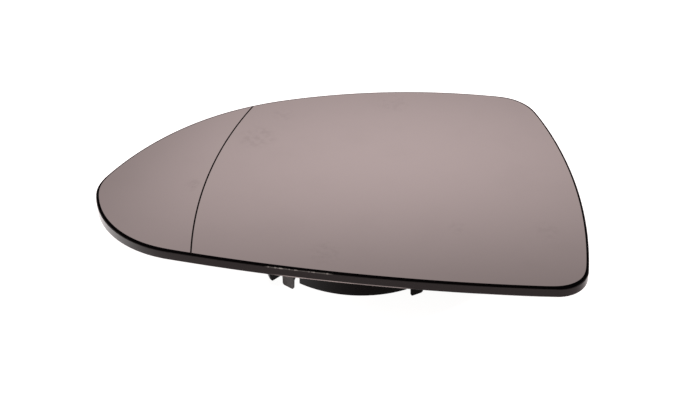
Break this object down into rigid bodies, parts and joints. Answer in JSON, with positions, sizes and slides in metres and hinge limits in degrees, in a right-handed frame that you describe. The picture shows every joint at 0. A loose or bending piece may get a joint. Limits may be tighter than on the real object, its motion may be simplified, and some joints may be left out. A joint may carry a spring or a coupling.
{
  "type": "car door mirror glass",
  "caption": "Left-hand crowned car mirror glass with a dividing line near its outer end, bonded in a black moulded holder with a clip ring and snap fingers on its back.",
  "frame": {"origin": "on the axis of the clip ring, in the plane of its mouth", "axes": "+Z out of the front of the glass, +X along the bottom edge towards the car, +Y to the top of the mirror"},
  "size_m": [0.1868, 0.1205, 0.022],
  "materials": {
    "mirror": "coated glass with a ground and blackened edge",
    "heater_mat": "thin adhesive heating film",
    "holder_plastic": "satin black moulding",
    "terminal_metal": "tinned"
  },
  "bodies": {
    "root": {"mirror_glass": "mirror", "heater_pad": "heater_mat", "glass_holder": "holder_plastic", "heater_terminal_inner": "terminal_metal", "heater_terminal_outer": "terminal_metal"}
  },
  "joints": []
}
